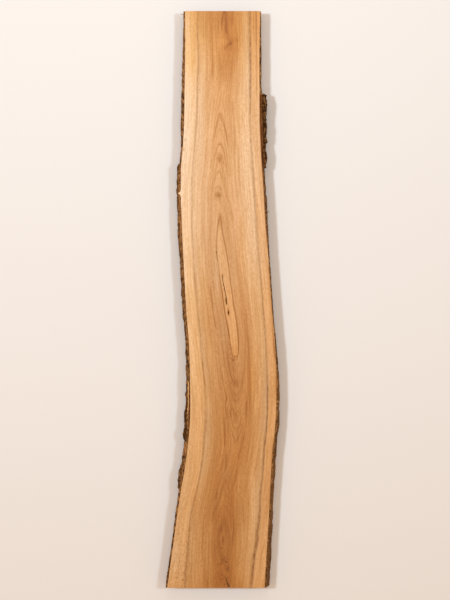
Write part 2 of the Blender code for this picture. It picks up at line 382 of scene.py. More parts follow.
# Black marks, those along the end check at the foot painted shade in the check: from, to, width in pixels,
# how dark.
BLACK_MARKS_AND_CHECK_SHADE = [
    ((226.2, 561.2), (226.4, 562.7), 0.9, 0.78),
    ((227.3, 569.9), (228.8, 566.4), 0.6, 0.36),
    ((227.3, 568.9), (227.6, 569.9), 0.75, 0.4),
    # Painted shade down the end check at the foot.
    ((225.6, 577.2), (227.3, 582), 0.6, 0.42),
    ((227.3, 583.4), (228.3, 584.9), 1, 0.62),
    ((229.1, 583.6), (229.7, 588.4), 0.65, 0.52),
    ((230.9, 579.2), (229.3, 583.6), 0.45, 0.18),
]

# Lines along the grain, with painted shade along the right rim and a painted highlight on the left rim: width
# in pixels, then places of (pixels down, pixels across, how dark or, below 0, how pale).
STREAKS_AND_PAINTED_RIM_LIGHT = [
    (1.1, [
        (9, 224.6, 0.26), (15, 223.2, 0.25), (20, 222.1, 0.3), (25, 221.9, 0.2), (31, 222.4, 0.08),
        (36, 222.8, 0),
    ]),
    (1.2, [
        (9, 225.6, 0.2), (16, 225.6, 0.16), (22, 225.9, 0.2), (28, 226.1, 0.24), (33, 227, 0.14),
        (38, 228.8, 0.1), (42, 230.4, 0.16), (45, 231, 0),
    ]),
    (0.6, [(20, 212, 0), (35, 212.1, 0.12), (60, 212.5, 0.2), (75, 212.7, 0.15), (88, 212.9, 0)]),
    (0.7, [(26, 236.5, 0), (40, 237.2, 0.15), (55, 237, 0.12), (66, 235.5, 0.1), (72, 235, 0)]),
    (1.1, [(9, 232, 0.2), (20, 232.1, 0.2), (30, 232.2, 0)]),
    (1.1, [
        (98, 232.6, 0), (104, 232.7, 0.2), (112, 232.9, 0.2), (118, 233.6, 0.12), (130, 234.2, 0.18),
        (140, 234.8, 0.2), (150, 235.2, 0.08), (160, 235.3, 0),
    ]),
    (0.6, [
        (113, 220, 0), (117, 220.8, 0.28), (122, 222.6, 0.25), (127, 224.6, 0.33), (134, 226.4, 0.33),
        (142, 227.3, 0.25), (152, 228.2, 0),
    ]),
    (0.7, [
        (113, 220, 0), (117, 219.2, 0.18), (124, 217, 0.16), (132, 215.2, 0.14), (140, 213.6, 0.1),
        (148, 212.5, 0),
    ]),
    (0.6, [
        (284, 210.2, 0), (288, 210.5, 0.25), (297, 211.5, 0.3), (306, 212.5, 0.42), (312, 213.2, 0.25),
        (321, 214.6, 0.4), (327, 215.4, 0.3), (331, 215.8, 0),
    ]),
    (0.6, [
        (340, 217, 0), (347, 217.8, 0.15), (358, 219.2, 0.12), (370, 221, 0.2), (378, 222.4, 0.35),
        (386, 223.6, 0.25), (393, 225, 0.28), (398, 226.4, 0.35), (405, 225.4, 0.25), (413, 226.5, 0.25),
        (420, 227.2, 0.12), (430, 228.2, 0.15), (440, 228.6, 0),
    ]),
    (0.6, [
        (348, 226.9, 0), (355, 227.4, 0.15), (363, 228.4, 0.38), (370, 229.6, 0.25), (377, 231.2, 0.3),
        (381, 233, 0.2), (384, 235, 0),
    ]),
    (1.4, [
        (300, 245, 0), (315, 246, 0.12), (330, 247, 0.2), (345, 248.2, 0.25), (375, 249.3, 0.2),
        (395, 250, 0.2), (430, 249, 0.1), (450, 248, 0),
    ]),
    (0.7, [(360, 202.5, 0), (364, 202.8, 0.3), (372, 203.3, 0.2), (382, 204.4, 0.25), (388, 205, 0)]),
    (0.8, [(407, 230.2, 0), (411, 230.4, 0.2), (415, 230.7, 0.2), (419, 230.9, 0)]),
    (0.5, [
        (410, 224, 0), (418, 224.2, 0.2), (428, 224.4, 0.32), (440, 224.6, 0.32), (446, 224.5, 0.15),
        (450, 224.4, 0),
    ]),
    (0.9, [
        (392, 246.9, 0), (402, 246.7, 0.15), (410, 246.5, 0.22), (418, 246.2, 0.15), (428, 245, 0.1),
        (438, 243.8, 0.22), (446, 241.8, 0.15), (450, 240.6, 0.25), (454, 239.3, 0.25), (460, 238, 0.15),
        (466, 237, 0.1), (473, 236.4, 0.22), (480, 235.3, 0.2), (490, 231.7, 0.1), (498, 230, 0),
    ]),
    (1.3, [
        (450, 226, 0), (458, 226.3, 0.2), (467, 226.1, 0.2), (474, 225, 0.1), (483, 223.6, 0.15),
        (491, 221.6, 0.2), (500, 219, 0.2), (510, 215.4, 0.15), (516, 212.7, 0.14), (522, 211.8, 0.1),
        (532, 211, 0),
    ]),
    (0.9, [
        (456, 223, 0), (463, 222.5, 0.15), (472, 221.5, 0.1), (482, 219.6, 0.15), (489, 217.6, 0.1),
        (495, 216.4, 0.3), (500, 215.8, 0.1), (506, 214, 0),
    ]),
    (0.5, [
        (490, 231.6, 0), (504, 231.8, 0.22), (510, 233, 0.15), (520, 233.5, 0.2), (528, 233.6, 0.2),
        (535, 232.8, 0.26), (545, 232.6, 0.15), (552, 232.4, 0),
    ]),
    (0.9, [
        (524, 208, 0), (534, 208.2, 0.12), (548, 208.6, 0.14), (562, 208.4, 0.1), (580, 208, 0.12),
        (592, 208, 0.1),
    ]),
    (0.8, [(9, 256.2, 0.28), (40, 256.3, 0.26), (62, 256.5, 0.1), (90, 256.6, 0.12), (100, 256.5, 0)]),
    (0.6, [(9, 253.4, 0.14), (40, 253.5, 0.08), (60, 253.2, 0)]),
    # A brown rim along the right edge, partly painted shade.
    (0.5, [
        (92, 259.9, 0), (95, 260, 1.5), (115, 260, 1.3), (144, 261, 1.4), (166, 262.2, 1.4),
        (185, 263.6, 1.2), (205, 264.7, 1.1), (225, 265.7, 0.9), (238, 266.6, 0.6), (250, 267.6, 0.2),
        (262, 268.5, 0),
    ]),
    (0.45, [
        (352, 275.4, 0), (360, 276.1, 0.6), (403, 276.3, 0.2), (426, 275.1, 0), (449, 272.7, 0.5),
        (473, 271.3, 0.6), (500, 269.7, 0.3), (515, 268.8, 0), (535, 267.7, 0), (552, 266.6, 0.08),
        (592, 264.4, 0.15),
    ]),
    # More of the right rim: brown wood, partly painted shade.
    (0.9, [
        (258, 268.4, 0), (275, 269.8, 0.46), (300, 271.2, 0.34), (330, 273, 0.3), (350, 274.4, 0.46),
        (365, 275.6, 0),
    ]),
    (0.5, [(9, 258, -0.12), (40, 258.1, -0.1), (80, 258.2, -0.08), (110, 258.3, 0)]),
    # A soft dark band inside the right rim, partly painted shade.
    (1.5, [
        (160, 260, 0), (175, 261, 0.08), (200, 262.3, 0.08), (225, 263.4, 0.11), (275, 267.3, 0.12),
        (300, 269.2, 0.07), (325, 271, 0.06), (350, 273, 0.09), (370, 274.2, 0),
    ]),
    (1.8, [
        (392, 274.4, 0), (405, 274.2, -0.08), (425, 272.9, -0.11), (445, 271.2, 0), (500, 267.8, 0),
        (525, 266, -0.1), (550, 264.4, -0.09), (575, 262.1, -0.05), (592, 260.6, 0),
    ]),
    (2, [
        (225, 182.7, 0), (250, 184.1, 0.04), (275, 185.8, -0.05), (300, 187.9, 0.045), (325, 190, 0),
        (350, 191.6, -0.06), (375, 192.8, -0.04), (400, 193.5, 0.07), (425, 193.2, 0), (475, 187.4, 0),
        (500, 183.2, -0.05), (525, 179.6, 0), (550, 176.3, -0.07), (575, 173.6, -0.05), (592, 172, 0),
    ]),
    # Painted highlight: a pale line along the left sapwood's rim beside the bark.
    (0.6, [
        (392, 191, 0), (400, 191.1, -0.13), (412, 191.1, -0.13), (425, 190.7, -0.12), (436, 189.5, -0.1),
        (446, 188.3, 0),
    ]),
]

FLOAT, VECTOR = "NodeSocketFloat", "NodeSocketVector"


def colour_setting(name, description, default):
    return bpy.props.FloatVectorProperty(
        name=name, description=description, subtype="COLOR", min=0, max=1, default=default
    )


def length_setting(name, description, default, least=0):
    return bpy.props.FloatProperty(
        name=name, description=description, unit="LENGTH", default=default, min=least
    )


def share_setting(name, description, default, most=1):
    return bpy.props.FloatProperty(
        name=name, description=description, subtype="FACTOR", default=default, min=0, max=most
    )


def power_setting(name, description, default):
    return bpy.props.FloatProperty(name=name, description=description, unit="POWER", default=default, min=0)


class WoodLook(bpy.types.PropertyGroup):
    """Colours and finish of the planed wood."""

    sap_pale: colour_setting("Pale sapwood", "Sapwood where the slab is palest", (0.890, 0.640, 0.402))
    sap_deep: colour_setting("Deep sapwood", "Sapwood near the foot", (0.648, 0.385, 0.172))
    sap_right: colour_setting("Right sapwood", "Tint of the darker sapwood on the right", (0.88, 0.76, 0.62))
    outer_pale: colour_setting("Pale outer heart", "Outer heartwood where it is palest", (0.82, 0.555, 0.322))
    outer_deep: colour_setting("Deep outer heart", "Outer heartwood near the foot", (0.575, 0.325, 0.129))
    inner_pale: colour_setting("Pale inner heart", "Inner heartwood where it is palest", (0.738, 0.42, 0.184))
    inner_deep: colour_setting("Deep inner heart", "Inner heartwood near the foot", (0.438, 0.208, 0.0615))
    flame: colour_setting("Flame", "The golden flame in the middle of the figure", (0.738, 0.419, 0.175))
    sap_line: colour_setting("Sap line", "Tint of the line round the heartwood", (0.45, 0.35, 0.24))
    grey_line: colour_setting("Grey sap line", "Tint of that line where it is grey", (0.45, 0.41, 0.40))
    cambium: colour_setting("Cambium", "Brown surface of the waney edge under the bark", (0.30, 0.15, 0.065))
    # Also the colour of the painted shade down the end check at the foot.
    black: colour_setting("Black wood", "Bottom of the marks that have gone black", (0.05, 0.026, 0.008))
    end_grain: colour_setting("End grain", "Tint of the sawn ends", (0.62, 0.52, 0.42))
    ring_strength: share_setting("Ring strength", "How clearly the growth rings show", 0.42)
    # This also sets the painted shade along the right rim and the painted highlight on the left rim.
    line_strength: share_setting("Line strength", "How dark the drawn grain lines are", 1.15, most=2)
    fibre_strength: share_setting("Fibre strength", "How clearly the fibres and pores show", 1.0)
    arris: length_setting("Arris", "Width of the eased edge round the face", 0.0010)


class BarkLook(bpy.types.PropertyGroup):
    """Colours and roughness of the bark."""

    inner: colour_setting("Inner bark", "Orange-brown bark next to the wood", (0.480, 0.222, 0.072))
    old_inner: colour_setting("Old inner bark", "Tint of the inner bark where weathered", (0.62, 0.46, 0.34))
    torn: colour_setting("Torn bark", "Palest strip of torn inner bark", (0.85, 0.50, 0.215))
    crust: colour_setting("Crust", "Brown ridges of the outer bark", (0.46, 0.235, 0.085))
    old_crust: colour_setting("Old crust", "The same where it is most weathered", (0.200, 0.098, 0.033))
    furrow: colour_setting("Furrow", "Bottom of the furrows", (0.060, 0.024, 0.007))
    old_furrow: colour_setting("Old furrow", "The same where it is most weathered", (0.028, 0.010, 0.002))
    speck: colour_setting("Speck", "Pale corky specks in the sawn bark", (0.48, 0.280, 0.130))
    furrow_depth: length_setting("Furrow depth", "Depth of the furrows in the thickest bark", 0.0050)
    swell: length_setting("Swell", "How far the crust stands out past the plain solid", 0.0015)
    furrow_width: length_setting("Furrow spacing", "Distance from furrow to furrow", 0.013, least=0.001)
    mesh_size: length_setting("Mesh size", "Longest mesh edge on the bark's outside", 0.0026, least=0.001)


class StudioLook(bpy.types.PropertyGroup):
    """The floor and the lights."""

    floor: colour_setting("Floor", "Colour of the pale floor", (0.863, 0.886, 0.909))
    fill_colour: colour_setting("Fill colour", "Colour of the light from all round", (1.0, 0.60, 0.33))
    fill: bpy.props.FloatProperty(name="Fill", description="Warm light from all round", default=0.62, min=0)
    left_power: power_setting("Left light", "Power of the softbox on the left", 109.5)
    right_power: power_setting("Right light", "Power of the softbox on the right", 64)
    head_power: power_setting("Head light", "Power of the weak softbox beyond the head", 8)
    distance: length_setting("Camera distance", "From the face to the camera", 4.6, least=1)


def on_face(across, down):
    """A place in the photograph as metres (right of the centre line, above the foot)."""
    return (across - CENTRE_ACROSS) * PIXEL, (FOOT_DOWN - down) * PIXEL


def in_slab(across, down, z):
    """A place in the photograph as a point of the slab, at this height above the floor."""
    right, above = on_face(across, down)
    return Vector((right + CENTRE_LINE_X, above + LOW.y, z))


def rgba(colour):
    return (*colour, 1.0)


def ramp(value, whole):
    """0 up to 0, then rising to 1 at whole."""
    return min(1.0, max(0.0, value / whole))


class Nodes:
    """Adds nodes to one tree, each wired up as it is made."""

    def __init__(self, tree):
        self.tree = tree

    def put(self, socket, value):
        if isinstance(value, bpy.types.NodeSocket):
            self.tree.links.new(value, socket)
        elif value is not None:
            socket.default_value = value

    def add(self, kind, *values, **settings):
        node = self.tree.nodes.new(kind)
        for name, value in settings.items():
            setattr(node, name, value)
        for socket, value in zip(node.inputs, values):
            self.put(socket, value)
        return node

    def math(self, operation, *values):
        return self.add("ShaderNodeMath", *values, operation=operation).outputs[0]

    def times(self, product, *others):
        """All the values multiplied."""
        for other in others:
            product = self.math("MULTIPLY", product, other)
        return product

    def plus(self, base, value, factor=1.0):
        """The base, and the value times the factor on top."""
        return self.math("MULTIPLY_ADD", value, factor, base)

    def less(self, value, taken):
        return self.math("SUBTRACT", value, taken)

    def over(self, value, divisor):
        return self.math("DIVIDE", value, divisor)

    def limit(self, value):
        """Keeps a value from 0 to 1. The Clamp option does the same but fills up Cycles' stack."""
        return self.math("MINIMUM", self.math("MAXIMUM", value, 0.0), 1.0)

    def vector(self, operation, *values):
        node = self.add("ShaderNodeVectorMath", *values, operation=operation)
        return node.outputs["Value" if operation in ("DOT_PRODUCT", "LENGTH", "DISTANCE") else "Vector"]

    def join(self, x, y, z=0.0):
        return self.add("ShaderNodeCombineXYZ", x, y, z).outputs[0]

    def split(self, vector):
        return self.add("ShaderNodeSeparateXYZ", vector).outputs

    def step(self, value, low, high, to_low=0.0, to_high=1.0):
        return self.add(
            "ShaderNodeMapRange", value, low, high, to_low, to_high, interpolation_type="SMOOTHSTEP"
        ).outputs[0]

    def bell(self, value, width):
        """1 where the value is 0, falling away over the width."""
        share = self.over(value, width)
        return self.math("POWER", math.e, self.times(share, share, -1.0))

    def blend(self, share, a, b):
        """A number between two others."""
        return self.add("ShaderNodeMix", share, None, a, b).outputs[0]

    def mix(self, share, a, b, blend="MIX"):
        """A colour between two others."""
        node = self.add("ShaderNodeMix", data_type="RGBA", blend_type=blend)
        for name, value in (("Factor_Float", share), ("A_Color", a), ("B_Color", b)):
            self.put(next(s for s in node.inputs if s.identifier == name), value)
        return next(s for s in node.outputs if s.identifier == "Result_Color")

    def tinted(self, colour, tint):
        return self.mix(1.0, colour, tint, "MULTIPLY")

    def noise(self, vector, detail=2.0, roughness=0.5):
        node = self.add("ShaderNodeTexNoise")
        for name, value in (("Vector", vector), ("Scale", 1.0), ("Detail", detail), ("Roughness", roughness)):
            self.put(node.inputs[name], value)
        return node.outputs["Fac"]

    def stretched(self, vector, across, length, *shape):
        """Noise drawn out along the grain: size across and along in metres, then detail and roughness."""
        return self.noise(self.vector("MULTIPLY", vector, (1 / across, 1 / length, 1 / across)), *shape)

    def along(self, share, points):
        """A smooth curve down the photograph, through points of (pixels down, value)."""
        values = [value for _, value in points]
        low, span = min(values), max(values) - min(values)
        placed = sorted(
            ((FOOT_DOWN - down) / (FOOT_DOWN - HEAD_DOWN), (value - low) / span) for down, value in points
        )
        if placed[0][0] > 0:
            placed.insert(0, (0.0, placed[0][1]))
        if placed[-1][0] < 1:
            placed.append((1.0, placed[-1][1]))
        node = self.add("ShaderNodeFloatCurve")
        curve = node.mapping.curves[0]
        curve.points[0].location, curve.points[1].location = placed[0], placed[-1]
        for place in placed[1:-1]:
            curve.points.new(*place)
        for point in curve.points:
            point.handle_type = "AUTO_CLAMPED"
        node.mapping.update()
        self.put(node.inputs["Value"], share)
        return self.plus(low, node.outputs[0], span)

    def line_along(self, share, points):
        """A curve down the photograph as metres right of the centre line."""
        return self.along(share, [(down, on_face(across, down)[0]) for down, across in points])

    def drawn_line(self, share, right, width, points):
        """A line along the grain, through points of (pixels down, pixels across, how dark)."""
        away = self.less(right, self.line_along(share, [point[:2] for point in points]))
        depth = self.along(share, [(down, depth) for down, _, depth in points])
        return self.times(self.bell(away, width * PIXEL), depth)

    def group(self, tree, **values):
        node = self.add("ShaderNodeGroup", node_tree=tree)
        for name, value in values.items():
            self.put(node.inputs[name], value)
        return node.outputs

    def bump(self, shader, height, strength, distance):
        node = self.add("ShaderNodeBump")
        for name, value in (("Height", height), ("Strength", strength), ("Distance", distance)):
            self.put(node.inputs[name], value)
        self.put(shader.inputs["Normal"], node.outputs[0])


def new_group(name, inputs, outputs):
    """A shader node group with named sockets, and ways to reach them from inside."""
    tree = bpy.data.node_groups.new(name, "ShaderNodeTree")
    for side, sockets in (("INPUT", inputs), ("OUTPUT", outputs)):
        for socket, kind in sockets.items():
            tree.interface.new_socket(socket, in_out=side, socket_type=kind)
    n = Nodes(tree)
    return n, n.add("NodeGroupInput").outputs, n.add("NodeGroupOutput").inputs


def new_material(name):
    """A material and its Principled shader."""
    material = bpy.data.materials.new(name)
    material.use_nodes = True
    return material, material.node_tree.nodes["Principled BSDF"]


# The rings are drawn in a log where the sap line is this far from the line of the pith, on both sides.
LOG_HALF = 0.1
# How the grain wanders: waves to the metre across it and along it, and how far it goes.
DRIFT_ACROSS, DRIFT_ALONG, DRIFT = 30, 5, 0.004
# How much nearer the pith is for each metre under the face.
PITH_RISE = 0.6


def slab_place_group():
    """Where a point is in the log: its growth ring, and how far it is along and across the grain."""
    outputs = dict.fromkeys(("Share", "Right", "Under", "Side", "Ring", "Heart", "Slope", "Tone"), FLOAT)
    outputs.update(Face=VECTOR, Grain=VECTOR)
    n, given, out = new_group("Slab place", {"Position": VECTOR}, outputs)
    xyz = n.split(given["Position"])
    height = n.less(xyz["Y"], LOW.y)
    right = n.less(xyz["X"], CENTRE_LINE_X)
    under = n.less(THICKNESS, xyz["Z"])
    share = n.over(height, LENGTH)
    heart = n.line_along(share, HEART_LINE)
    from_heart = n.less(right, heart)
    left_width = n.less(heart, n.line_along(share, SAP_LINE["left"]))
    right_width = n.less(n.line_along(share, SAP_LINE["right"]), heart)
    is_right = n.math("GREATER_THAN", from_heart, 0.0)
    across = n.times(n.over(from_heart, n.blend(is_right, left_width, right_width)), LOG_HALF)
    drift = n.noise(
        n.join(n.times(across, DRIFT_ACROSS), n.times(height, DRIFT_ALONG), n.times(under, DRIFT_ACROSS))
    )
    across = n.plus(across, n.less(drift, 0.5), DRIFT)
    pith = n.along(share, [(down, depth / 1000) for down, depth in PITH_DEPTH])
    down = n.plus(pith, under, -PITH_RISE)
    squeezed = n.times(across, ARCH_WIDTH)
    radius = n.math("SQRT", n.plus(n.times(down, down), squeezed, squeezed))
    edge = n.math("SQRT", n.plus((LOG_HALF * ARCH_WIDTH) ** 2, pith, pith))
    results = {
        "Share": share, "Right": right, "Under": under, "Side": is_right, "Ring": radius,
        "Heart": n.over(radius, edge), "Slope": n.over(n.math("ABSOLUTE", squeezed), radius),
        "Tone": n.along(share, TONE), "Face": n.join(right, height), "Grain": n.join(across, height, under),
    }
    for name, value in results.items():
        n.put(out[name], value)
    return n.tree


# How unevenly the rings follow each other, as a share of the spacing, and how faint the faintest one is.
UNEVEN, FAINTEST = 0.3, 0.2


def ring_lines_group():
    """Dark lines where one growth ring ends, some darker than others, no thinner than the light can show."""
    inputs = dict.fromkeys(("Ring", "Spacing", "Thin", "Wide", "Slope"), FLOAT)
    n, given, out = new_group("Ring lines", inputs, {"Line": FLOAT})
    count = n.over(given["Ring"], given["Spacing"])
    number = n.math("ROUND", count)
    chance = n.add("ShaderNodeTexWhiteNoise", None, number, noise_dimensions="1D").outputs["Value"]
    offset = n.less(count, n.plus(number, n.less(chance, 0.5), UNEVEN))
    width = n.plus(given["Thin"], given["Slope"], given["Wide"])
    line = n.bell(offset, n.over(width, given["Spacing"]))
    n.put(out["Line"], n.times(line, n.plus(FAINTEST, chance, 1 - FAINTEST)))
    return n.tree


# Sizes across the grain and along it, then detail and roughness.
FIBRES = {
    "Broad": (0.0045, 0.11, 3.0, 0.6), "Fine": (0.0028, 0.015, 2.0, 0.6),
    "Pores": (0.0020, 0.0048, 1.0), "Specks": (0.0032, 0.008, 1.0),
}
# Where the noise turns from plain wood into a pore.
PORE = 0.58, 0.70


def grain_group():
    """Fibres along the grain, and the dark pores between them."""
    n, given, out = new_group("Fibres", {"Grain": VECTOR}, dict.fromkeys(FIBRES, FLOAT))
    for name, shape in FIBRES.items():
        value = n.stretched(given["Grain"], *shape)
        n.put(out[name], n.step(value, *PORE) if name in ("Pores", "Specks") else value)
    return n.tree


# How wide a mark still is at its ends, as a share of its middle.
MARK_END = 0.4


def mark_group():
    """A dark mark from one place on the face to another, pointed at both ends."""
    inputs = {"Face": VECTOR, "From": VECTOR, "To": VECTOR, "Width": FLOAT}
    n, given, out = new_group("Mark", inputs, {"Mask": FLOAT})
    whole = n.vector("SUBTRACT", given["To"], given["From"])
    part = n.vector("SUBTRACT", given["Face"], given["From"])
    share = n.limit(n.over(n.vector("DOT_PRODUCT", part, whole), n.vector("DOT_PRODUCT", whole, whole)))
    scaled = n.add("ShaderNodeVectorMath", whole, operation="SCALE")
    n.put(scaled.inputs["Scale"], share)
    away = n.vector("DISTANCE", part, scaled.outputs[0])
    middle = n.plus(MARK_END, n.math("SINE", n.times(share, math.pi)), 1 - MARK_END)
    n.put(out["Mask"], n.bell(away, n.times(given["Width"], middle)))
    return n.tree


def spot_group():
    """A soft oval on the face."""
    n, given, out = new_group("Spot", {"Face": VECTOR, "Centre": VECTOR, "Radius": VECTOR}, {"Mask": FLOAT})
    away = n.vector("DIVIDE", n.vector("SUBTRACT", given["Face"], given["Centre"]), given["Radius"])
    n.put(out["Mask"], n.bell(n.vector("LENGTH", away), 1.0))
    return n.tree


# Pixels down to the flame's top and bottom, how softly they end as shares of the length, how softly its
# sides do in metres, and the width of its dark outline in pixels.
FLAME_ENDS = 216.0, 357.5
TOP_FADE, BOTTOM_FADE = 0.006, 0.003
FLAME_FADE = 0.0008, 0.0030
OUTLINE_WIDTH = 0.58


def flame_group():
    """The golden flame and the dark line round it."""
    n, given, out = new_group("Flame", {"Share": FLOAT, "Right": FLOAT}, {"Inside": FLOAT, "Outline": FLOAT})
    share, right = given["Share"], given["Right"]
    left_edge, right_edge = (n.line_along(share, [point[:2] for point in FLAME_EDGE[side]]) for side in SIDES)
    from_edge = n.math("MINIMUM", n.less(right, left_edge), n.less(right_edge, right))
    top, bottom = (on_face(0, down)[1] / LENGTH for down in FLAME_ENDS)
    within = n.times(n.step(share, top, top - TOP_FADE), n.step(share, bottom, bottom + BOTTOM_FADE))
    n.put(out["Inside"], n.times(n.step(from_edge, *FLAME_FADE), within))
    outlines = [n.drawn_line(share, right, OUTLINE_WIDTH, FLAME_EDGE[side]) for side in SIDES]
    n.put(out["Outline"], n.math("MAXIMUM", *outlines))
    return n.tree


# Metres under the face: where what is drawn on it has faded out, and where it is whole.
SHALLOW = 0.022, 0.004
# From the foot (0) to the head (1): where the foot's specks and the wide ends of the right sap line fade
# in, and how wide the head's gets.
FOOT_SPECKS, WIDE_FOOT, WIDE_HEAD = (0.16, 0.02), (0.16, 0.08), (0.80, 0.94, 0.0, 0.6)
# From the pith (0) to the sap line (1): where the outer heart, the sapwood and the painted highlight on the
# sapwood's outer rim begin.
OUTER_HEART, SAPWOOD, HIGHLIGHT_RIM = (0.72, 0.92), (0.99, 1.025), (1.10, 1.20)
# Where the heartwood is greyest, and how far that reaches.
GREY_AT, GREY_WIDTH = 0.955, 0.045
# Colour bands that follow the rings: their width in metres, waves along the slab, detail and roughness.
BROAD_BANDS, FINE_BANDS = (0.009, 3.0, 3.0, 0.55), (0.0033, 7.0, 2.0, 0.6)
# How far the broad bands shift the edge of the outer heart.
BAND_SHIFT = 0.3
# Layers of the grain: the value that leaves the wood as it is, and how dark or, below 0, how pale the wood
# gets above that.
GRAIN_LAYERS = {
    "Broad": (0.5, -0.50), "Fine": (0.5, -0.42), "Pores": (0.1, 0.20), "Specks": (0.1, 0.12),
    "broad bands": (0.5, -0.32), "fine bands": (0.5, -0.30),
}
# How much fainter the pores are in the flame and the sapwood, and the rings in the flame, and how many
# more specks the left sapwood has at the foot.
FEWER_PORES, FAINTER_RINGS, MORE_SPECKS = 0.6, 0.75, 2.6
# How much of the flame's own colour shows, and how much paler and bluer the painted highlight makes the left
# sapwood's rim.
FLAME_SHARE, HIGHLIGHT_COOL = 0.8, 0.085
# Growth rings: spacing, thinnest line, how much wider it gets on a slope, the slopes where the rings have
# gone and where they are whole, and how dark.
RINGS = [(0.001, 0.00011, 0.0012, 0.45, 0.15, 0.8), (0.0037, 0.0002, 0.0016, 0.85, 0.4, 0.6)]
# How fast red, green and blue fade as the wood gets darker.
STAIN = 1.0, 1.52, 2.5
# How much green a warm tint takes away for all the blue that it takes.
WARM_GREEN = 0.33
# The sap line: its width, how much wider it gets at the right's ends, the size of the breaks in it, and
# from where to where in their noise it goes from faint to strong.
LINE_WIDTH, WIDER = 0.0031, 0.0032
BREAKS, BREAK_STEP = (1 / 220, 0.02), (0.30, 0.66, 0.65, 1.4)
# How far a face has turned sideways to count as a waney edge, and endways to count as a sawn end.
WANEY_TURN, END_TURN = (0.2, 0.35), (0.8, 0.95)
# Roughness of the wood and how much the fibres add, and how deep the pores are in the bump.
WOOD_ROUGHNESS, FIBRE_ROUGHNESS, PORE_BUMP = 0.42, 0.16, 0.8


